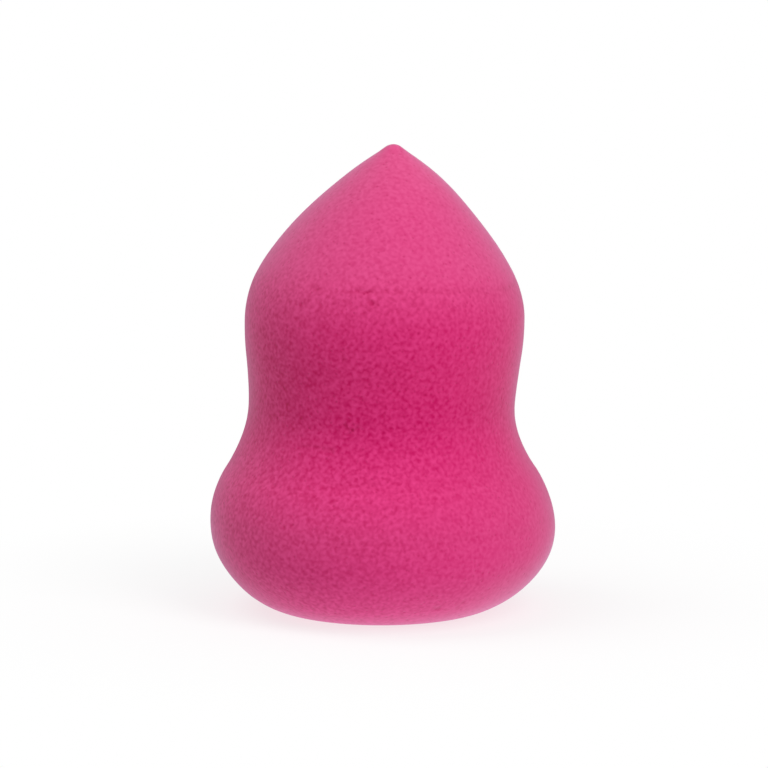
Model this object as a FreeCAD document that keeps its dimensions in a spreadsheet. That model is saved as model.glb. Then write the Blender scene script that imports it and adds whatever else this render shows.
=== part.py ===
"""Makeup sponge: one gourd-shaped block of soft foam, turned on its upright axis.

The origin is the centre of the flat foot, +Z points to the tip, and lengths are millimetres.
"""
import FreeCAD, Part
import math
import os
import Sketcher

NODE = "foam_body"
FULL_TURN = 360.0
START_INDEX, END_INDEX, CENTRE_INDEX = 1, 2, 3
ORIGIN_POINT = (-1, 1)
UPRIGHT_AXIS_INDEX = -2

# Driving sizes: widths are read across the sponge, heights are stacked from the foot to the tip
SIZES = [
    ("shoulder_diameter", "35.9", "widest circle of the upper half"),
    ("waist_draw_in", "0.8", "how far each side of the waist lies inside the shoulder"),
    ("bulge_spread", "5.0", "how far each side of the bulge stands out past the waist"),
    ("bulge_height", "11.3", "foot to the widest circle, and the radius of the rounded underside"),
    ("waist_above_bulge", "15.3", "widest circle to the narrowest part of the waist"),
    ("shoulder_above_waist", "11.1", "narrowest part of the waist to the shoulder"),
    ("tip_above_shoulder", "22.3", "shoulder to the top of the tip"),
    ("bulge_turn_share", "0.44", "share of the rise to the waist at which the curve turns hollow"),
    ("shoulder_turn_share", "0.56", "share of the rise to the shoulder at which the curve turns full"),
    ("shoulder_radius", "12.0", "arc that rolls the shoulder in under the cone"),
    ("flank_radius", "46.0", "long, nearly straight arc of the cone"),
    ("tip_radius", "2.3", "small round end of the tip"),
]


def add_sheet(doc):
    """Puts the driving sizes in a spreadsheet, one row each with its name, value and note."""
    sheet = doc.addObject("Spreadsheet::Sheet", "sizes")
    for row, (name, value, note) in enumerate(SIZES, start=1):
        sheet.set(f"A{row}", name)
        sheet.set(f"B{row}", value)
        sheet.set(f"C{row}", note)
        sheet.setAlias(f"B{row}", name)
    doc.recompute()
    return sheet


def arc_between(centre, first, last, outward):
    """Arc of the outline from first to last, where outward tells a full curve from a hollow one."""
    low, high = (first, last) if outward else (last, first)
    low_angle = math.atan2(low.y - centre.y, low.x - centre.x)
    high_angle = math.atan2(high.y - centre.y, high.x - centre.x)
    if high_angle < low_angle:
        high_angle += math.tau
    circle = Part.Circle(centre, FreeCAD.Vector(0, 0, 1), (first - centre).Length)
    return Part.ArcOfCircle(circle, low_angle, high_angle)


def double_curve(low, high, turn_share):
    """Turning point and the two centres of an S-curve that is upright at both of its ends."""
    inset = abs(high.x - low.x)
    rise = high.y - low.y
    radii_sum = (rise ** 2 + inset ** 2) / (2 * inset)
    low_radius = radii_sum * turn_share
    high_radius = radii_sum - low_radius
    turn = low + (high - low) * turn_share
    narrows = math.copysign(1, low.x - high.x)
    low_centre = FreeCAD.Vector(low.x - narrows * low_radius, low.y, 0)
    high_centre = FreeCAD.Vector(high.x + narrows * high_radius, high.y, 0)
    return turn, low_centre, high_centre


def flank_centre(shoulder_centre, tip_centre, to_shoulder, to_tip):
    """Centre of the cone's long arc, at the given distances from the arcs that it runs into."""
    across = tip_centre - shoulder_centre
    span = across.Length
    along = (to_shoulder ** 2 - to_tip ** 2 + span ** 2) / (2 * span)
    aside = math.sqrt(to_shoulder ** 2 - along ** 2)
    ahead = across / span
    left = FreeCAD.Vector(-ahead.y, ahead.x, 0)
    return shoulder_centre + ahead * along + left * aside


def outline_arcs(sheet):
    """The outline's arcs from the foot up to the tip, each with its outward or hollow sense."""
    shoulder_x = sheet.shoulder_diameter / 2
    waist_x = shoulder_x - sheet.waist_draw_in
    bulge_x = waist_x + sheet.bulge_spread
    waist_y = sheet.bulge_height + sheet.waist_above_bulge
    shoulder_y = waist_y + sheet.shoulder_above_waist
    tip_y = shoulder_y + sheet.tip_above_shoulder

    underside_centre = FreeCAD.Vector(bulge_x - sheet.bulge_height, sheet.bulge_height, 0)
    foot_edge = FreeCAD.Vector(underside_centre.x, 0, 0)
    bulge = FreeCAD.Vector(bulge_x, sheet.bulge_height, 0)
    waist = FreeCAD.Vector(waist_x, waist_y, 0)
    shoulder = FreeCAD.Vector(shoulder_x, shoulder_y, 0)
    tip = FreeCAD.Vector(0, tip_y, 0)

    low_turn, bulge_centre, low_waist_centre = double_curve(bulge, waist, sheet.bulge_turn_share)
    high_turn, high_waist_centre, low_shoulder_centre = double_curve(
        waist, shoulder, sheet.shoulder_turn_share)

    shoulder_centre = FreeCAD.Vector(shoulder_x - sheet.shoulder_radius, shoulder_y, 0)
    tip_centre = FreeCAD.Vector(0, tip_y - sheet.tip_radius, 0)
    cone_centre = flank_centre(shoulder_centre, tip_centre,
                               sheet.flank_radius - sheet.shoulder_radius,
                               sheet.flank_radius - sheet.tip_radius)
    flank_start = cone_centre + (shoulder_centre - cone_centre).normalize() * sheet.flank_radius
    flank_end = cone_centre + (tip_centre - cone_centre).normalize() * sheet.flank_radius

    return {
        "underside": (arc_between(underside_centre, foot_edge, bulge, True), True),
        "bulge": (arc_between(bulge_centre, bulge, low_turn, True), True),
        "low_waist": (arc_between(low_waist_centre, low_turn, waist, False), False),
        "high_waist": (arc_between(high_waist_centre, waist, high_turn, False), False),
        "low_shoulder": (arc_between(low_shoulder_centre, high_turn, shoulder, True), True),
        "shoulder": (arc_between(shoulder_centre, shoulder, flank_start, True), True),
        "flank": (arc_between(cone_centre, flank_start, flank_end, True), True),
        "tip": (arc_between(tip_centre, flank_end, tip, True), True),
    }


class Outline:
    """Half outline of the sponge in a sketch, with its constraints bound to the sheet."""

    def __init__(self, sketch, sheet):
        self.sketch = sketch
        self.index = {}
        self.ends = {}
        for name, (curve, outward) in outline_arcs(sheet).items():
            self.index[name] = sketch.addGeometry(curve, False)
            self.ends[name] = (START_INDEX, END_INDEX) if outward else (END_INDEX, START_INDEX)
        self.names = list(self.index)
        self.foot_point = self.point("underside", first=True)
        self.tip_point = self.point("tip", first=False)

    def point(self, name, first):
        """Geometry and vertex number of the first or last point of an arc."""
        return self.index[name], self.ends[name][0 if first else 1]

    def position(self, vertex):
        """Where a vertex lies in the sketch."""
        return self.sketch.getPoint(*vertex)

    def constrain(self, kind, *where):
        """Adds a constraint without a size."""
        self.sketch.addConstraint(Sketcher.Constraint(kind, *where))

    def bind(self, kind, name, expression, value, *where):
        """Adds a named constraint whose size follows an expression on the sheet."""
        self.sketch.addConstraint(Sketcher.Constraint(kind, *where, value))
        self.sketch.renameConstraint(self.sketch.ConstraintCount - 1, name)
        self.sketch.setExpression(f"Constraints.{name}", expression)

    def bind_height(self, name, expression, low, high):
        """Binds the rise from one vertex to another."""
        value = self.position(high).y - self.position(low).y
        self.bind("DistanceY", name, expression, value, *low, *high)

    def bind_reach(self, name, expression, vertex):
        """Binds how far a vertex lies from the upright axis."""
        self.bind("DistanceX", name, expression, self.position(vertex).x, *ORIGIN_POINT, *vertex)

    def bind_radius(self, name, expression):
        """Binds the radius of an arc."""
        index = self.index[name]
        self.bind("Radius", f"{name}_radius", expression, self.sketch.Geometry[index].Radius, index)

    def close(self):
        """Joins the arcs smoothly and shuts the outline with the foot and the axis."""
        origin = FreeCAD.Vector(0, 0, 0)
        foot = self.sketch.addGeometry(
            Part.LineSegment(origin, self.position(self.foot_point)), False)
        axis = self.sketch.addGeometry(
            Part.LineSegment(self.position(self.tip_point), origin), False)
        for lower, upper in zip(self.names, self.names[1:]):
            self.constrain("Tangent", *self.point(lower, False), *self.point(upper, True))
        self.constrain("Coincident", foot, START_INDEX, *ORIGIN_POINT)
        self.constrain("Horizontal", foot)
        self.constrain("Tangent", foot, END_INDEX, *self.foot_point)
        self.constrain("Coincident", axis, START_INDEX, *self.tip_point)
        self.constrain("Coincident", axis, END_INDEX, *ORIGIN_POINT)
        self.constrain("Vertical", axis)
        self.constrain("PointOnObject", self.index["tip"], CENTRE_INDEX, UPRIGHT_AXIS_INDEX)

    def size(self):
        """Binds the widths, the stacked heights, the turning points and the free radii."""
        bulge = self.point("bulge", True)
        low_turn = self.point("low_waist", True)
        waist = self.point("high_waist", True)
        high_turn = self.point("low_shoulder", True)
        shoulder = self.point("shoulder", True)
        for name, vertex in (("bulge", bulge), ("high_waist", waist), ("shoulder", shoulder)):
            self.constrain("Horizontal", self.index[name], CENTRE_INDEX, *vertex)
        self.bind_reach("shoulder_reach", "sizes.shoulder_diameter / 2", shoulder)
        self.bind_reach("waist_reach", "sizes.shoulder_diameter / 2 - sizes.waist_draw_in", waist)
        self.bind_reach("bulge_reach", "sizes.shoulder_diameter / 2 - sizes.waist_draw_in"
                        " + sizes.bulge_spread", bulge)
        self.bind_height("bulge_rise", "sizes.bulge_height", ORIGIN_POINT, bulge)
        self.bind_height("waist_rise", "sizes.waist_above_bulge", bulge, waist)
        self.bind_height("shoulder_rise", "sizes.shoulder_above_waist", waist, shoulder)
        self.bind_height("tip_rise", "sizes.tip_above_shoulder", shoulder, self.tip_point)
        self.bind_height("low_turn_rise", "sizes.waist_above_bulge * sizes.bulge_turn_share",
                         bulge, low_turn)
        self.bind_height("high_turn_rise",
                         "sizes.shoulder_above_waist * sizes.shoulder_turn_share",
                         waist, high_turn)
        self.bind_radius("shoulder", "sizes.shoulder_radius")
        self.bind_radius("flank", "sizes.flank_radius")
        self.bind_radius("tip", "sizes.tip_radius")


def add_foam_body(doc, sheet):
    """The sponge: its half outline in the upright plane, revolved once about the axis."""
    body = doc.addObject("PartDesign::Body", NODE)
    body.Label = NODE
    planes = {plane.Role: plane for plane in body.Origin.OriginFeatures}
    sketch = body.newObject("Sketcher::SketchObject", "gourd_outline")
    sketch.AttachmentSupport = [(planes["XZ_Plane"], "")]
    sketch.MapMode = "FlatFace"
    outline = Outline(sketch, sheet)
    outline.close()
    outline.size()
    doc.recompute()

    turned = body.newObject("PartDesign::Revolution", "ground_form")
    turned.Profile = sketch
    turned.ReferenceAxis = (sketch, ["V_Axis"])
    turned.Angle = FULL_TURN
    body.Tip = turned
    body.Placement = FreeCAD.Placement()
    return body


def check(doc, bodies):
    """Stops the build when an object failed or a body has no sound solid."""
    for item in doc.Objects:
        if "Invalid" in item.State or "Error" in item.State:
            raise RuntimeError(f"{item.Label} failed: {item.State}")
    for body in bodies:
        if body.Shape.isNull() or not body.Shape.isValid() or len(body.Shape.Solids) != 1:
            raise RuntimeError(f"{body.Label} is not one sound solid")


def main():
    doc = FreeCAD.newDocument("makeup_sponge")
    sheet = add_sheet(doc)
    bodies = [add_foam_body(doc, sheet)]
    doc.recompute()
    check(doc, bodies)
    os.makedirs("parts", exist_ok=True)
    for body in bodies:
        body.Shape.exportStep(f"parts/{body.Label}.step")
        box = body.Shape.optimalBoundingBox(False)
        print(f"{body.Label}: {box.XLength:.2f} x {box.YLength:.2f} x {box.ZLength:.2f} mm, "
              f"{body.Shape.Volume:.0f} mm3")


main()
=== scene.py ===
"""Gourd-shaped makeup sponge: the ground foam body, its studio floor, lights and camera.

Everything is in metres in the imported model's own frame: the foot rests at z = 0 and +Z runs to the tip.
"""
import math
import bpy
import numpy as np
from bpy.props import FloatProperty, FloatVectorProperty, IntProperty, PointerProperty
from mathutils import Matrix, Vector, noise


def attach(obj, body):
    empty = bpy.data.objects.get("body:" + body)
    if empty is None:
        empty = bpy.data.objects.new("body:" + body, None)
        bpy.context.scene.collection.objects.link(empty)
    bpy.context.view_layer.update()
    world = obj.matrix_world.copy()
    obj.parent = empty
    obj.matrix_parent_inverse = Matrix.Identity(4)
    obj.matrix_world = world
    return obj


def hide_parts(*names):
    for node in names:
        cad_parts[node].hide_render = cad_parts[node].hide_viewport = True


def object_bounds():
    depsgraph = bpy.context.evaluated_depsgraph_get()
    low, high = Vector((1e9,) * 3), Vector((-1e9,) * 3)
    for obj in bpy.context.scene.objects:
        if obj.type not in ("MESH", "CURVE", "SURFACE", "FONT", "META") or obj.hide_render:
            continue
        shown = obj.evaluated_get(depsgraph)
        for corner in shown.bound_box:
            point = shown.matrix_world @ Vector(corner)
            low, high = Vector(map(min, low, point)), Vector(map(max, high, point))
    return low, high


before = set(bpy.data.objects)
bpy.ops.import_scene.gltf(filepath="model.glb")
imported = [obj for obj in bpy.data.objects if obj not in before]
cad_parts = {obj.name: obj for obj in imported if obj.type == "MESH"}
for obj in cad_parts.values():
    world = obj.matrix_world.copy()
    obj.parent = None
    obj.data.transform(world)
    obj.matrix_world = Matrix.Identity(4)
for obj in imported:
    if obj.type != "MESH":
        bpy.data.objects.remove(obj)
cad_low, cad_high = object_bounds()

bl_info = {
    "name": "Gourd Makeup Sponge",
    "version": (1, 0, 0),
    "blender": (4, 5, 0),
    "location": "3D View > Sidebar > Sponge",
    "description": "Builds a gourd-shaped foam makeup sponge round its packed solid, in a plain studio",
    "category": "Object",
}

MM = 0.001
FOAM_NODE = "foam_body"
ROOT_BODY = "root"
SPONGE_HEIGHT = cad_high.z - cad_low.z
SPONGE_MIDDLE = (cad_low.z + cad_high.z) / 2
CUT_ATTRIBUTE = "cut"
FLOOR_SIDES = 64

# The spine of the hand-ground form: how far its middle stands to the right, by height above the foot, in mm
SPINE = ((0.0, -0.34), (5.0, -0.1), (10.0, -0.12), (15.0, -0.36), (20.0, -0.48), (24.0, -0.41),
         (29.0, -0.15), (38.0, 0.09), (46.0, 0.13), (51.0, 0.46), (56.0, 1.0), (60.0, 1.21))

# Where grinding left the form wider or slimmer than the even outline, by height above the foot, in mm
SWELL = ((0.0, 0.46), (1.0, 0.07), (2.4, -0.07), (8.0, 0.14), (12.0, 0.03), (16.0, -0.06), (20.0, 0.05),
         (24.5, -0.08), (31.0, 0.08), (41.0, -0.08), (45.0, 0.0), (52.0, -0.19), (57.0, -0.25),
         (60.0, -0.35))

# The crease where the cone's grinding met the shoulder's: angle round the body in degrees (0 in front,
# rising to the right), height in mm, and the share of its full depth
CREASE = ((-180.0, 43.5, 0.8), (-120.0, 43.9, 0.9), (-75.0, 43.8, 0.3), (-45.0, 43.6, 0.35),
          (-33.0, 43.5, 0.4), (-22.0, 43.34, 0.45), (-17.0, 43.44, 0.75), (-8.0, 43.46, 0.75),
          (-3.0, 43.48, 0.6), (4.0, 43.52, 0.75), (14.0, 43.44, 0.75), (26.0, 43.27, 0.7),
          (42.0, 43.05, 0.8), (60.0, 42.55, 0.5), (110.0, 42.7, 0.8), (180.0, 43.5, 0.8))

# Lines, nicks and scratches of the grinding, each from one end to the other: angle round the body in
# degrees (0 in front, rising to the right) and height in mm at both ends, then half width and depth in mm
GRIND_MARKS = ((-180.0, 12.4, 180.0, 12.4, 0.5, 0.008),
               (-20.5, 43.4, -15.5, 43.4, 0.2, 0.02),
               (-13.3, 43.48, -10.4, 43.46, 0.22, 0.042),
               (-8.6, 43.4, -6.1, 43.36, 0.22, 0.038),
               (-60.0, 42.0, 35.0, 41.2, 0.4, 0.005),
               (-30.0, 39.6, 60.0, 39.2, 0.4, 0.005),
               (-36.0, 23.6, -19.5, 23.3, 0.22, 0.04),
               (-20.0, 19.5, 6.6, 19.4, 0.4, 0.012),
               (-36.0, 18.0, -12.0, 17.0, 0.4, 0.012),
               (-16.5, 26.8, -13.5, 25.6, 0.2, 0.045),
               (-13.5, 25.6, -10.0, 26.4, 0.2, 0.045),
               (-5.8, 42.3, -5.0, 42.0, 0.22, 0.085),
               (-17.6, 35.2, -16.6, 34.8, 0.26, 0.05),
               (32.0, 4.1, 29.0, 2.2, 0.22, 0.02),
               (20.3, 3.3, 22.0, 3.2, 0.26, 0.05),
               (110.0, 30.5, 128.0, 30.0, 0.4, 0.04),
               (-150.0, 21.0, -128.0, 20.4, 0.4, 0.03),
               (150.0, 37.5, 171.0, 37.9, 0.4, 0.03),
               (-124.0, 33.4, -106.0, 33.7, 0.4, 0.03))

# How such a groove comes and goes along its length: its middle share of the full depth, how far it swings
# about that, and the least and the most that it may have
CREASE_TEAR = (0.85, 0.7, 0.2, 1.3)
MARK_TEAR = (0.9, 1.5, 0.0, 1.5)

# The soft noise of lumps, grain and tears: how fast its finer layers weaken, how much finer each is than
# the one before, and how many there are
NOISE_LAYERS = (0.9, 2.0, 2)

# How many times closer than the body's rings its outline is traced, before the rings are laid along it
TRACE_FINENESS = 8

# The middle of a noise texture's values, which run from 0 to 1
NOISE_MIDDLE = 0.5

# The dye's colour by height above the foot in mm, with painted light in it: painted sheen makes the cone
# paler and painted shade makes the waist darker and a deeper pink. Beside it, how coarse the foam is there:
# smooth on the cone, where the grinding raised a nap, and coarse in the waist; that coarseness also sets
# the cells' painted grain shade, faint on the cone where the lamps fall square on
DYE_AND_PAINTED_LIGHT = ((0.0, (0.72, 0.025, 0.204), 0.72), (13.0, (0.72, 0.043, 0.21), 0.78),
       (22.5, (0.71, 0.025, 0.182), 0.92), (27.3, (0.685, 0.016, 0.166), 1.0),
       (31.0, (0.712, 0.0205, 0.177), 1.0), (38.0, (0.72, 0.026, 0.187), 0.95),
       (42.6, (0.72, 0.047, 0.214), 0.8), (45.3, (0.72, 0.058, 0.227), 0.25),
       (52.0, (0.71, 0.058, 0.224), 0.12), (57.0, (0.71, 0.067, 0.229), 0.1))


# Foam body: outline, relief and mesh

class GourdOutline:
    """The half outline from the foot's centre to the tip, as arcs that run smoothly into each other."""

    def __init__(self, form):
        shoulder = form.shoulder_diameter / 2
        waist = shoulder - form.waist_draw_in
        bulge = waist + form.bulge_spread
        waist_height = form.bulge_height + form.waist_above_bulge
        shoulder_height = waist_height + form.shoulder_above_waist
        tip_height = shoulder_height + form.tip_above_shoulder
        self.foot_radius = bulge - form.bulge_height
        self.arcs = []
        self.add_arc((self.foot_radius, form.bulge_height), form.bulge_height, -math.pi / 2, 0.0)
        self.add_double_curve((bulge, form.bulge_height), (waist, waist_height), form.bulge_turn_share)
        self.add_double_curve((waist, waist_height), (shoulder, shoulder_height),
                              form.shoulder_turn_share)
        self.add_cone((shoulder - form.shoulder_radius, shoulder_height), form.shoulder_radius,
                      (0.0, tip_height - form.tip_radius), form.tip_radius, form.flank_radius)

    def add_arc(self, centre, radius, start, end):
        """Adds an arc by its centre, radius and angles; a hollow arc turns clockwise."""
        self.arcs.append((centre, radius, start, end))

    def add_double_curve(self, low, high, turn_share):
        """Adds an S-curve of two arcs that is upright at both of its ends."""
        inset = abs(high[0] - low[0])
        rise = high[1] - low[1]
        radii_sum = (rise ** 2 + inset ** 2) / (2 * inset)
        low_radius = radii_sum * turn_share
        high_radius = radii_sum - low_radius
        sweep = math.asin(rise / radii_sum)
        if high[0] < low[0]:
            self.add_arc((low[0] - low_radius, low[1]), low_radius, 0.0, sweep)
            self.add_arc((high[0] + high_radius, high[1]), high_radius, math.pi + sweep, math.pi)
        else:
            self.add_arc((low[0] + low_radius, low[1]), low_radius, math.pi, math.pi - sweep)
            self.add_arc((high[0] - high_radius, high[1]), high_radius, -sweep, 0.0)

    def add_cone(self, shoulder, shoulder_radius, tip, tip_radius, flank_radius):
        """Adds the shoulder's roll, the cone's long flank and the round tip."""
        across = np.subtract(tip, shoulder)
        span = np.hypot(*across)
        ahead = across / span
        left = np.array([-ahead[1], ahead[0]])
        to_shoulder = flank_radius - shoulder_radius
        to_tip = flank_radius - tip_radius
        along = (to_shoulder ** 2 - to_tip ** 2 + span ** 2) / (2 * span)
        centre = shoulder + ahead * along + left * math.sqrt(to_shoulder ** 2 - along ** 2)
        low_angle = math.atan2(*np.subtract(shoulder, centre)[::-1])
        high_angle = math.atan2(*np.subtract(tip, centre)[::-1])
        self.add_arc(shoulder, shoulder_radius, 0.0, low_angle)
        self.add_arc(centre, flank_radius, low_angle, high_angle)
        self.add_arc(tip, tip_radius, high_angle, math.pi / 2)

    def trace(self, step, close_step, close_low, close_high):
        """Radius, height and outward normal of the rings, from foot centre to tip.

        The rings stand a step apart, or a close step between the two close heights.
        """
        fine = close_step / TRACE_FINENESS
        foot = np.linspace(0.0, self.foot_radius, round(self.foot_radius / fine), endpoint=False)
        parts = [np.stack([foot, np.zeros(len(foot)), np.zeros(len(foot)), np.full(len(foot), -1.0)])]
        for centre, radius, start, end in self.arcs:
            angles = np.linspace(start, end, round(radius * abs(end - start) / fine), endpoint=False)
            facing = math.copysign(1.0, end - start)
            across, up = np.cos(angles), np.sin(angles)
            parts.append(np.stack([centre[0] + radius * across, centre[1] + radius * up,
                                   facing * across, facing * up]))
        centre, radius, _, _ = self.arcs[-1]
        parts.append(np.array([[0.0], [centre[1] + radius], [0.0], [1.0]]))
        path = np.concatenate(parts, axis=1)
        gaps = np.hypot(*np.diff(path[:2]))
        close = (path[1, 1:] > close_low) & (path[1, 1:] < close_high)
        place = np.concatenate([[0.0], np.cumsum(gaps / np.where(close, close_step, step))])
        rings = np.linspace(0.0, place[-1], round(place[-1]) + 1)
        return [np.interp(rings, place, column) for column in path]


def smooth_between(points, places):
    """Smooth curve through given (place, value in mm) points, read at the places, in metres."""
    at, value = np.array(list(points)).T
    value = value * MM
    slope = np.gradient(value, at)
    index = np.clip(np.searchsorted(at, places) - 1, 0, len(at) - 2)
    width = at[index + 1] - at[index]
    t = np.clip((places - at[index]) / width, 0.0, 1.0)
    start = (1 + 2 * t) * (1 - t) ** 2 * value[index] + t * (1 - t) ** 2 * width * slope[index]
    end = t ** 2 * (3 - 2 * t) * value[index + 1] + t ** 2 * (t - 1) * width * slope[index + 1]
    return start + end


def soft_noise(points, size):
    """Smooth noise with features of a real size at each point, about -1 to 1."""
    return np.array([noise.fractal(Vector(point), *NOISE_LAYERS) for point in points / size])


class FoamRelief:
    """How far the ground surface stands off the even outline, point by point."""

    def __init__(self, grind, points, angles, radii):
        self.grind = grind
        self.points = points
        self.angles = angles
        self.radii = radii

    def unevenness(self):
        """Broad soft lumps and the torn grain."""
        grind = self.grind
        return (soft_noise(self.points, grind.lump_size) * grind.lump_depth
                + soft_noise(self.points, grind.grain_size) * grind.grain_depth)

    def torn(self, middle, swing, least, most):
        """Share of its full depth that a groove has at each point, as the foam tore there."""
        return np.clip(middle + swing * soft_noise(self.points, self.grind.tear_size), least, most)

    def crease(self):
        """Depth of the groove where the cone's grinding met the shoulder's."""
        turns, levels, shares = zip(*CREASE)
        level = smooth_between(zip(turns, levels), self.angles)
        away = (self.points[:, 2] - level) / self.grind.crease_width
        depth = self.grind.crease_depth * np.interp(self.angles, turns, shares)
        return depth * self.torn(*CREASE_TEAR) * np.exp(-away ** 2)

    def marks(self):
        """Depth of the lines, nicks and scratches."""
        depth = np.zeros(len(self.points))
        for first, low, last, high, half_width, mark_depth in GRIND_MARKS:
            along = np.radians(self.angles - first) * self.radii
            above = self.points[:, 2] - low * MM
            run = math.radians(last - first) * self.radii
            rise = (high - low) * MM
            share = np.clip((along * run + above * rise) / (run ** 2 + rise ** 2), 0.0, 1.0)
            away = np.hypot(along - share * run, above - share * rise) / (half_width * MM)
            depth += mark_depth * MM * np.exp(-away ** 2)
        return depth * self.torn(*MARK_TEAR)


def ring_count(radius, form):
    """Points in a ring: halved, while they are even in number, until they don't crowd."""
    closest = form.mesh_step / 2
    count = form.ring_points
    while count % 2 == 0 and math.tau * radius / count < closest:
        count //= 2
    return count


def lay_rings(form, grind):
    """The rings as ranges of point numbers, and the points' radii, heights, normals and angles as rows."""
    levels = [level * MM for _, level, _ in CREASE]
    close = (min(levels) - grind.crease_reach, max(levels) + grind.crease_reach)
    smallest = form.mesh_step / 4
    rings, spots = [], []
    start = 0
    for ring in zip(*GourdOutline(form).trace(form.mesh_step, form.crease_step, *close)):
        count = 1 if ring[0] < smallest else ring_count(ring[0], form)
        turns = np.arange(count) / count * 360.0 - 180.0
        spots.append(np.concatenate([np.tile(np.array(ring)[:, None], count), turns[None]]))
        rings.append(range(start, start + count))
        start += count
    return rings, np.concatenate(spots, axis=1)


def join_strip(lower, upper):
    """Faces between two rings; where one has half the points, a triangle and a quad fill each gap."""
    few, many = sorted((lower, upper), key=len)
    faces = []
    for place in range(len(few)):
        after = (place + 1) % len(few)
        if len(few) == len(many):
            faces.append((lower[place], lower[after], upper[after], upper[place]))
            continue
        first, middle, last = (many[(2 * place + k) % len(many)] for k in range(3))
        pair = [(first, middle, few[place]), (middle, last, few[after], few[place])]
        faces.extend(pair if many is lower else [face[::-1] for face in pair])
    return faces


def join_rings(lower, upper):
    """Faces between two rings, or between a ring and the single point at an end of the body."""
    if len(lower) == 1:
        return [(lower[0], upper[(k + 1) % len(upper)], upper[k]) for k in range(len(upper))]
    if len(upper) == 1:
        return [(lower[k], lower[(k + 1) % len(lower)], upper[0]) for k in range(len(lower))]
    return join_strip(lower, upper)


def build_foam_mesh(form, grind):
    """The foam body's mesh: rings of points up the outline, set off by swell, relief and lean."""
    rings, (radii, heights, out, up, angles) = lay_rings(form, grind)
    radii += smooth_between(SWELL, heights / MM) * np.clip(radii / form.tip_radius, 0.0, 1.0)
    across = np.sin(np.radians(angles))
    back = -np.cos(np.radians(angles))
    points = np.stack([radii * across, radii * back, heights], axis=1)
    relief = FoamRelief(grind, points, angles, np.maximum(radii, form.mesh_step))
    cut = relief.crease() + relief.marks()
    off = relief.unevenness() - cut
    off *= np.clip(heights / grind.foot_blend, 0.0, 1.0)
    points += off[:, None] * np.stack([out * across, out * back, up], axis=1)
    points[:, 0] += smooth_between(SPINE, heights / MM)
    faces = [face for lower, upper in zip(rings, rings[1:]) for face in join_rings(lower, upper)]
    mesh = bpy.data.meshes.new("foam_sponge")
    mesh.from_pydata(points.tolist(), [], faces)
    mesh.shade_smooth()
    shares = mesh.attributes.new(CUT_ATTRIBUTE, "FLOAT", "POINT")
    shares.data.foreach_set("value", cut / grind.crease_depth)
    return mesh


# Materials

class Value:
    """A shader value: a sum or product written on it adds the Math node that works it out."""

    def __init__(self, paint, socket):
        self.paint = paint
        self.socket = socket

    def math(self, operation, *others):
        """A Math node of that operation on this value and the others."""
        return self.paint.math(operation, self, *others)

    def __add__(self, other):
        return self.math("ADD", other)

    __radd__ = __add__

    def __mul__(self, other):
        return self.math("MULTIPLY", other)

    __rmul__ = __mul__

    def __sub__(self, other):
        return self.math("SUBTRACT", other)

    def __rsub__(self, other):
        return self.paint.math("SUBTRACT", other, self)

    def __truediv__(self, other):
        return self.math("DIVIDE", other)

    def __rtruediv__(self, other):
        return self.paint.math("DIVIDE", other, self)

    def beside(self, name):
        """Another output of the same node."""
        return Value(self.paint, self.paint.find(self.socket.node.outputs, name))

    def clamped(self):
        """The value held between 0 and 1."""
        return self.math("MAXIMUM", 0.0).math("MINIMUM", 1.0)


class Paint:
    """The node tree of a material or world under construction."""

    def __init__(self, owner):
        owner.use_nodes = True
        self.tree = owner.node_tree
        self.tree.nodes.clear()

    def node(self, kind, settings=None, inputs=None, output=0):
        """Adds a node, sets it up, fills or links its inputs and returns one of its outputs."""
        made = self.tree.nodes.new(kind)
        for name, value in (settings or {}).items():
            if name == "stops":
                self.set_stops(made.color_ramp, value)
            else:
                setattr(made, name, value)
        for name, value in (inputs or {}).items():
            socket = self.find(made.inputs, name)
            if isinstance(value, Value):
                self.tree.links.new(value.socket, socket)
            else:
                socket.default_value = value
        return Value(self, self.find(made.outputs, output)) if made.outputs else None

    def find(self, sockets, name):
        """The socket with that place or name, among those that the node's settings leave in use."""
        if isinstance(name, int):
            return sockets[name]
        return next(socket for socket in sockets if socket.enabled and socket.name == name)

    def set_stops(self, ramp, stops):
        """Gives a colour ramp its stops, each a position and a colour."""
        while len(ramp.elements) < len(stops):
            ramp.elements.new(1.0)
        for element, (position, colour) in zip(ramp.elements, stops):
            element.position = position
            element.color = colour

    def math(self, operation, *values):
        """A Math node of that operation on the values."""
        return self.node("ShaderNodeMath", {"operation": operation}, dict(enumerate(values)))

    def mix(self, factor, first, second):
        """A colour between two colours."""
        return self.node("ShaderNodeMix", {"data_type": "RGBA"},
                         {"Factor": factor, "A": first, "B": second}, "Result")

    def distance(self, place, point=(0.0, 0.0, 0.0)):
        """How far a place lies from a point."""
        return self.node("ShaderNodeVectorMath", {"operation": "DISTANCE"}, {0: place, 1: point}, "Value")

    def seen_directly(self):
        """One for what the camera sees, also in a mirror or glass, and none for light on the sponge."""
        camera = self.node("ShaderNodeLightPath", None, None, "Is Camera Ray")
        mirror = camera.beside("Is Glossy Ray")
        return camera.math("MAXIMUM", mirror).math("MAXIMUM", camera.beside("Is Transmission Ray"))


def opaque(colour):
    """A colour with full alpha, as sockets take it."""
    return (*colour, 1.0)


def foam_dye_and_painted_light(paint, place):
    """The dye's colour by height, with painted sheen on the cone and painted shade in the waist, and beside
    it how coarse the foam is there.
    """
    height = paint.node("ShaderNodeSeparateXYZ", None, {"Vector": place}, "Z")
    stops = [(level * MM / SPONGE_HEIGHT, (*dye_and_light, coarse)) for level, dye_and_light, coarse in DYE_AND_PAINTED_LIGHT]
    dye_and_light = paint.node("ShaderNodeValToRGB", {"stops": stops}, {"Fac": height / SPONGE_HEIGHT}, "Color")
    return dye_and_light, dye_and_light.beside("Alpha")


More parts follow.
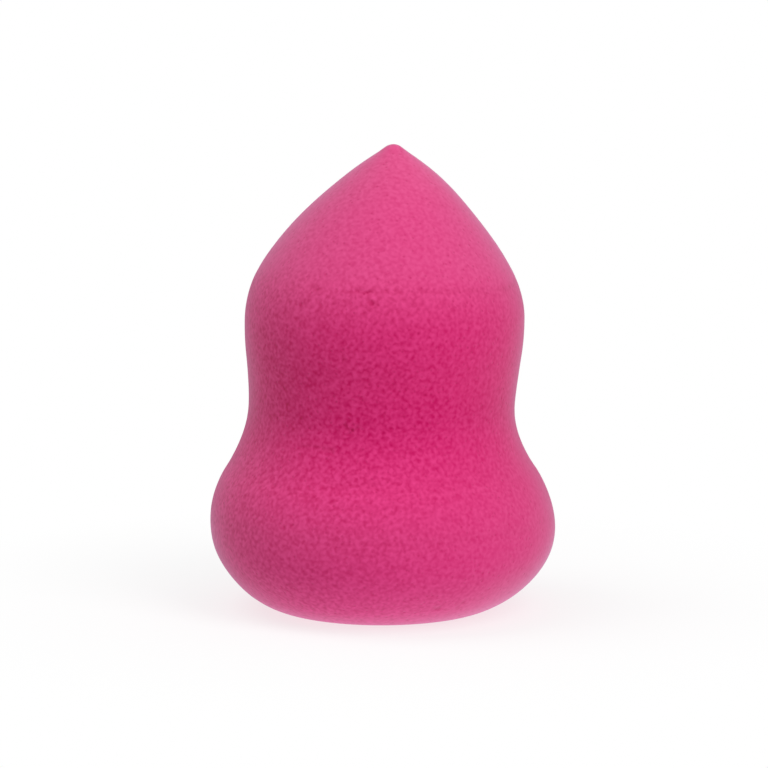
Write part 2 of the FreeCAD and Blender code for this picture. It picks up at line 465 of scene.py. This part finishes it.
def foam_cells(paint, place, foam):
    """The torn cells' height, from about -0.5 in their floors to 0.5 on their rims."""
    turned = paint.node("ShaderNodeMapping", None, {"Vector": place, "Rotation": foam.cell_turn}, "Vector")
    grain = paint.node("ShaderNodeTexNoise", None, {
        "Vector": turned, "Scale": 1.0 / foam.cell_size, "Detail": foam.cell_detail,
        "Distortion": foam.cell_twist}, "Fac")
    cells = grain - NOISE_MIDDLE
    return cells - cells * cells * foam.pit_share


def foam_pores(paint, place, foam):
    """The larger pores: one in their middle, down to none at their rim."""
    away = paint.node("ShaderNodeTexVoronoi", None, {"Vector": place, "Scale": 1.0 / foam.pore_spacing},
                      "Distance")
    return (1.0 - away / foam.pore_width).clamped()


def foam_gain(paint, coarse, left, foam):
    """How much the cells change the colour, as partly painted grain shade: little on smooth foam and on the
    right, where the key lamp falls square on, most on coarse foam at the left, where it grazes.
    """
    gain = paint.mix(coarse, opaque(foam.smooth_gain), opaque(foam.coarse_gain))
    return paint.mix(left * coarse * coarse, gain, opaque(foam.shaded_side_gain))


def make_foam_material(foam):
    """Dyed open-cell foam: velvety and matte, with torn cells, pores and cuts darkened by painted shade,
    and a pale nap.
    """
    material = bpy.data.materials.new("velvet_pink_foam")
    paint = Paint(material)
    place = paint.node("ShaderNodeTexCoord", None, None, "Object")
    # The dye's colours carry painted sheen on the cone and painted shade in the waist
    dye_and_light, coarse = foam_dye_and_painted_light(paint, place)
    # Painted grain shade: the cells' contrast fades out towards the right, where the key lamp falls square
    # on
    side = paint.node("ShaderNodeSeparateXYZ", None, {"Vector": place}, "X") / foam.lit_side_reach
    coarse = (coarse - side.math("MAXIMUM", 0.0)).clamped()
    cells = foam_cells(paint, place, foam)
    pores = foam_pores(paint, place, foam)
    cuts = paint.node("ShaderNodeAttribute", {"attribute_name": CUT_ATTRIBUTE}, None, "Fac")
    tears = cuts * (NOISE_MIDDLE - cells)
    gain = foam_gain(paint, coarse, (0.0 - side).clamped(), foam)
    nap = paint.node("ShaderNodeVectorMath", {"operation": "MULTIPLY_ADD"}, {0: cells, 1: gain, 2: dye_and_light})
    # Painted shade: the pores, crease and marks are darkened towards the cut colour
    painted_hollow_shade = (pores * foam.pore_shade + tears * foam.cut_contrast).clamped()
    colour = paint.mix(painted_hollow_shade, nap, opaque(foam.cut_colour))
    depth = (cells * foam.cell_depth * (coarse * (1.0 - foam.smooth_bump) + foam.smooth_bump)
             - pores * foam.pore_depth - tears * foam.cut_depth)
    bump = paint.node("ShaderNodeBump", None, {"Height": depth, "Strength": 1.0, "Distance": 1.0},
                      "Normal")
    shader = paint.node("ShaderNodeBsdfPrincipled", None, {
        "Base Color": colour, "Roughness": foam.roughness, "Specular IOR Level": foam.specular,
        "Sheen Weight": foam.sheen, "Sheen Roughness": foam.sheen_roughness,
        "Sheen Tint": opaque(foam.sheen_colour), "Normal": bump})
    paint.node("ShaderNodeOutputMaterial", None, {"Surface": shader})
    return material


def make_floor_material(stage):
    """A seamless floor that the camera sees as white, but for the sponge's soft shadow."""
    material = bpy.data.materials.new("studio_floor")
    paint = Paint(material)
    place = paint.node("ShaderNodeTexCoord", None, None, "Object")
    near = (1.0 - paint.distance(place) / stage.shadow_reach).clamped()
    # Painted bounce light: round the foot the floor glows for the light that falls on the sponge, unseen by
    # the camera
    pool = (1.0 - paint.distance(place, stage.bounce_place) / stage.bounce_reach).clamped()
    seen = paint.seen_directly()
    white = seen * (1.0 - near * stage.shadow_share) + (1.0 - seen) * pool * stage.bounce_share
    tone = paint.mix(seen, opaque(stage.bounce_colour), opaque(stage.floor_colour))
    matte = paint.node("ShaderNodeBsdfDiffuse", None, {"Color": tone})
    glow = paint.node("ShaderNodeEmission", None, {"Color": opaque((1.0, 1.0, 1.0)), "Strength": 1.0})
    shader = paint.node("ShaderNodeMixShader", None, {0: white, 1: matte, 2: glow})
    paint.node("ShaderNodeOutputMaterial", None, {"Surface": shader})
    return material


def make_sky(stage):
    """Even pale light from all round, which the camera sees as white."""
    world = bpy.data.worlds.new("studio_sky")
    paint = Paint(world)
    seen = paint.seen_directly()
    strength = seen + (1.0 - seen) * stage.sky_strength
    sky = paint.node("ShaderNodeBackground", None,
                     {"Color": opaque((1.0, 1.0, 1.0)), "Strength": strength})
    paint.node("ShaderNodeOutputWorld", None, {"Surface": sky})
    return world


# Settings

def length(name, description, value):
    """A length setting, in metres."""
    return FloatProperty(name=name, description=description, default=value, unit="LENGTH",
                         subtype="DISTANCE", precision=5)


def colour(name, description, value):
    """A colour setting."""
    return FloatVectorProperty(name=name, description=description, default=value, subtype="COLOR",
                               min=0.0, max=1.0)


def number(name, description, value):
    """A plain number setting."""
    return FloatProperty(name=name, description=description, default=value, precision=4)


def angle(name, description, degrees):
    """An angle setting, given in degrees."""
    return FloatProperty(name=name, description=description, default=math.radians(degrees),
                         subtype="ANGLE")


class SpongeForm(bpy.types.PropertyGroup):
    """Sizes of the even outline, as the solid has them."""
    shoulder_diameter: length("Shoulder", "Widest circle of the upper half", 35.9 * MM)
    waist_draw_in: length("Waist draw-in", "How far the waist lies inside the shoulder", 0.8 * MM)
    bulge_spread: length("Bulge spread", "How far the bulge stands out past the waist", 5.0 * MM)
    bulge_height: length("Bulge height", "Foot to the widest circle", 11.3 * MM)
    waist_above_bulge: length("Waist above bulge", "Widest circle to the waist", 15.3 * MM)
    shoulder_above_waist: length("Shoulder above waist", "Waist to the shoulder", 11.1 * MM)
    tip_above_shoulder: length("Tip above shoulder", "Shoulder to the tip", 22.3 * MM)
    bulge_turn_share: number("Bulge turn", "Share of the rise at which the bulge turns hollow", 0.44)
    shoulder_turn_share: number("Shoulder turn", "Share of the rise at which the waist turns full", 0.56)
    shoulder_radius: length("Shoulder radius", "Arc that rolls the shoulder in", 12.0 * MM)
    flank_radius: length("Flank radius", "Long arc of the cone", 46.0 * MM)
    tip_radius: length("Tip radius", "Round end of the tip", 2.3 * MM)
    mesh_step: length("Mesh step", "Distance between rings of points", 0.35 * MM)
    crease_step: length("Crease step", "Distance between rings round the crease", 0.16 * MM)
    ring_points: IntProperty(name="Ring points", default=384,
                             description="Points in a full ring, halved where the rings get small")


class SpongeGrind(bpy.types.PropertyGroup):
    """The hand-ground surface: unevenness, grain, the crease and the marks."""
    lump_size: length("Lump size", "Width of the broad unevenness", 9.0 * MM)
    lump_depth: length("Lump depth", "Depth of the broad unevenness", 0.05 * MM)
    grain_size: length("Grain size", "Width of the torn grain", 1.1 * MM)
    grain_depth: length("Grain depth", "Depth of the torn grain", 0.003 * MM)
    crease_width: length("Crease width", "Half width of the crease", 0.28 * MM)
    crease_depth: length("Crease depth", "Depth of the crease", 0.03 * MM)
    crease_reach: length("Crease reach", "Height on either side in which the rings stand close", 0.8 * MM)
    tear_size: length("Tear size", "Distance over which the crease and marks come and go", 2.6 * MM)
    foot_blend: length("Foot blend", "Height over which the flat foot takes up the relief", 2.0 * MM)


class SpongeFoam(bpy.types.PropertyGroup):
    """Colour and finish of the foam."""
    smooth_gain: colour("Smooth gain", "How much the nap's tips and the cells' floors differ where smooth",
                        (0.112, 0.051, 0.09))
    coarse_gain: colour("Coarse gain", "How much the nap's tips and the cells' floors differ where coarse",
                        (0.35, 0.057, 0.187))
    # Painted grain shade: the cells' stronger contrast on the left, where the key lamp grazes
    shaded_side_gain: colour("Rough gain", "How much they differ on the left, where the foam is roughest",
                       (0.33, 0.1, 0.22))
    # Painted grain shade: how far to the right the cells' contrast fades out, where the key lamp falls
    # square on
    lit_side_reach: length("Smooth side", "How far to the right coarse foam turns quite smooth", 22.0 * MM)
    cut_colour: colour("Cut colour", "Shadow inside the pores, crease and marks", (0.47, 0.0, 0.08))
    cell_size: length("Cell size", "Size of the torn cells", 0.49 * MM)
    cell_detail: number("Cell detail", "How much finer tearing there is in the cells", 0.2)
    cell_twist: number("Cell twist", "How far the cells are torn into worm-like shapes", 0.3)
    cell_turn: FloatVectorProperty(name="Cell turn", subtype="EULER", default=(0.6, 0.5, 0.7),
                                   description="Turn of the cells against the sponge's axes")
    pit_share: number("Pit share", "How much deeper the cells' floors are than their rims are high", 0.3)
    cell_depth: length("Cell depth", "Depth of the torn cells where coarse", 0.012 * MM)
    smooth_bump: number("Smooth bump", "Share of that depth that smooth foam keeps", 0.2)
    pore_spacing: length("Pore spacing", "Distance between the larger pores", 0.9 * MM)
    pore_width: number("Pore width", "Radius of the larger pores, as a share of their spacing", 0.25)
    pore_depth: length("Pore depth", "Depth of the larger pores", 0.03 * MM)
    pore_shade: number("Pore shade", "How dark the larger pores are", 0.42)
    cut_contrast: number("Cut contrast", "How dark the bottom of the crease and marks is", 0.64)
    cut_depth: length("Cut depth", "Depth of the tears in the crease and marks", 0.012 * MM)
    roughness: number("Roughness", "Roughness of the foam", 0.95)
    specular: number("Specular", "Strength of the plain reflection", 0.1)
    sheen: number("Nap sheen", "Strength of the pale nap at the edges", 0.51)
    sheen_roughness: number("Nap spread", "How far the pale nap reaches in from the edges", 0.48)
    sheen_colour: colour("Sheen colour", "Colour of the pale nap", (0.81, 0.78, 1.0))


class SpongeStage(bpy.types.PropertyGroup):
    """Floor, lights and camera."""
    floor_colour: colour("Floor colour", "Colour of the seamless floor", (0.97, 0.97, 0.97))
    bounce_colour: colour("Bounce colour", "Colour of the floor for the light it throws on the sponge",
                          (0.45, 0.39, 0.4))
    floor_radius: length("Floor radius", "Reach of the floor", 4.0)
    shadow_reach: length("Shadow reach", "How far from the sponge the floor still shows its shadow", 0.07)
    shadow_share: number("Shadow share", "How strongly the floor shows the sponge's shadow", 0.35)
    bounce_share: number("Bounce share", "How much more light the floor at the foot throws back up", 1.42)
    bounce_reach: length("Bounce reach", "How far that light reaches", 0.047)
    bounce_place: FloatVectorProperty(name="Bounce place", subtype="TRANSLATION", unit="LENGTH",
                                      description="Where on the floor that light is strongest",
                                      default=(0.0015, -0.004, 0.0))
    sky_strength: number("Sky strength", "Even light from all round", 0.466)
    fill_power: number("Fill power", "Power of the soft lamp high on the left", 2.41)
    fill_size: length("Fill size", "Side of the fill lamp", 0.55)
    fill_turn: angle("Fill turn", "Angle of the fill lamp to the right of the camera", -90.0)
    fill_rise: angle("Fill rise", "Angle of the fill lamp above the horizontal", 60.0)
    key_power: number("Key power", "Power of the tall soft lamp at the right of the camera", 5.19)
    key_width: length("Key width", "Width of the tall lamp", 0.45)
    key_height: length("Key height", "Height of the tall lamp", 1.0)
    key_turn: angle("Key turn", "Angle of the tall lamp to the right of the camera", 42.0)
    key_rise: angle("Key rise", "Angle of the tall lamp above the horizontal", 34.0)
    lamp_distance: length("Lamp distance", "From the middle of the sponge to each lamp", 0.9)
    camera_distance: length("Camera distance", "From the middle of the sponge", 0.7)
    camera_rise: angle("Camera rise", "Angle of the camera above the horizontal", 9.5)
    camera_lens: number("Lens", "Focal length in millimetres", 255.7)
    camera_drop: length("Camera drop", "How far below the middle the camera looks", 1.0 * MM)


# Operators

class SPONGE_OT_foam_body(bpy.types.Operator):
    """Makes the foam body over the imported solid"""
    bl_idname = "sponge.foam_body"
    bl_label = "Foam body"

    def execute(self, context):
        scene = context.scene
        mesh = build_foam_mesh(scene.sponge_form, scene.sponge_grind)
        mesh.materials.append(make_foam_material(scene.sponge_foam))
        body = bpy.data.objects.new("foam_sponge", mesh)
        scene.collection.objects.link(body)
        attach(body, ROOT_BODY)
        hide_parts(FOAM_NODE)
        return {"FINISHED"}


def direction(turn, rise):
    """Unit vector that points to the right of the front by turn and above the horizontal by rise."""
    return Vector((math.sin(turn) * math.cos(rise), -math.cos(turn) * math.cos(rise), math.sin(rise)))


def facing(place, target):
    """Rotation of a lamp or camera that stands at a place and looks at a target."""
    return (target - place).to_track_quat("-Z", "Y").to_euler()


class SPONGE_OT_stage(bpy.types.Operator):
    """Makes the floor, the soft lights and the camera"""
    bl_idname = "sponge.stage"
    bl_label = "Studio"

    def execute(self, context):
        scene = context.scene
        stage = scene.sponge_stage
        self.scene = scene
        self.target = Vector((0.0, 0.0, SPONGE_MIDDLE))
        self.add_floor(stage)
        scene.world = make_sky(stage)
        self.add_lamp("fill_lamp", stage.fill_power, direction(stage.fill_turn, stage.fill_rise),
                      stage.fill_size, stage.fill_size)
        self.add_lamp("key_lamp", stage.key_power, direction(stage.key_turn, stage.key_rise),
                      stage.key_width, stage.key_height)
        self.add_camera(stage)
        scene.view_settings.view_transform = "Standard"
        return {"FINISHED"}

    def add_floor(self, stage):
        """A flat round floor at the foot's height."""
        radius = stage.floor_radius
        around = [side * math.tau / FLOOR_SIDES for side in range(FLOOR_SIDES)]
        rim = [(radius * math.cos(turn), radius * math.sin(turn), cad_low.z) for turn in around]
        mesh = bpy.data.meshes.new("studio_floor")
        mesh.from_pydata(rim, [], [range(len(rim))])
        mesh.materials.append(make_floor_material(stage))
        floor = bpy.data.objects.new("studio_floor", mesh)
        self.scene.collection.objects.link(floor)

    def add_lamp(self, name, power, side, width, height):
        """A large soft lamp that faces the sponge from one side of it."""
        light = bpy.data.lights.new(name, "AREA")
        light.shape = "RECTANGLE"
        light.energy = power
        light.size = width
        light.size_y = height
        lamp = bpy.data.objects.new(name, light)
        lamp.location = self.target + side * self.scene.sponge_stage.lamp_distance
        lamp.rotation_euler = facing(lamp.location, self.target)
        self.scene.collection.objects.link(lamp)

    def add_camera(self, stage):
        """A long lens a little above the sponge's middle."""
        data = bpy.data.cameras.new("photo_camera")
        data.lens = stage.camera_lens
        camera = bpy.data.objects.new("photo_camera", data)
        camera.location = self.target + direction(0.0, stage.camera_rise) * stage.camera_distance
        aim = self.target - Vector((0.0, 0.0, stage.camera_drop))
        camera.rotation_euler = facing(camera.location, aim)
        self.scene.collection.objects.link(camera)
        self.scene.camera = camera


class SPONGE_PT_builder(bpy.types.Panel):
    """Lists the sponge's pieces and their settings"""
    bl_idname = "SPONGE_PT_builder"
    bl_label = "Makeup Sponge"
    bl_space_type = "VIEW_3D"
    bl_region_type = "UI"
    bl_category = "Sponge"

    def draw(self, context):
        for operator, groups in SECTIONS:
            box = self.layout.box()
            for group in groups:
                self.list_settings(box, getattr(context.scene, group))
            box.operator(operator)

    def list_settings(self, box, settings):
        """Shows every setting of a group."""
        for name in settings.bl_rna.properties.keys():
            if name not in ("rna_type", "name"):
                box.prop(settings, name)


GROUPS = {"sponge_form": SpongeForm, "sponge_grind": SpongeGrind, "sponge_foam": SpongeFoam,
          "sponge_stage": SpongeStage}
SECTIONS = (("sponge.foam_body", ("sponge_form", "sponge_grind", "sponge_foam")),
            ("sponge.stage", ("sponge_stage",)))
CLASSES = (*GROUPS.values(), SPONGE_OT_foam_body, SPONGE_OT_stage, SPONGE_PT_builder)


def register():
    for item in CLASSES:
        bpy.utils.register_class(item)
    for name, group in GROUPS.items():
        setattr(bpy.types.Scene, name, PointerProperty(type=group))


def unregister():
    for name in GROUPS:
        delattr(bpy.types.Scene, name)
    for item in reversed(CLASSES):
        bpy.utils.unregister_class(item)


def main():
    register()
    bpy.ops.sponge.foam_body()
    bpy.ops.sponge.stage()


if __name__ == "__main__":
    main()
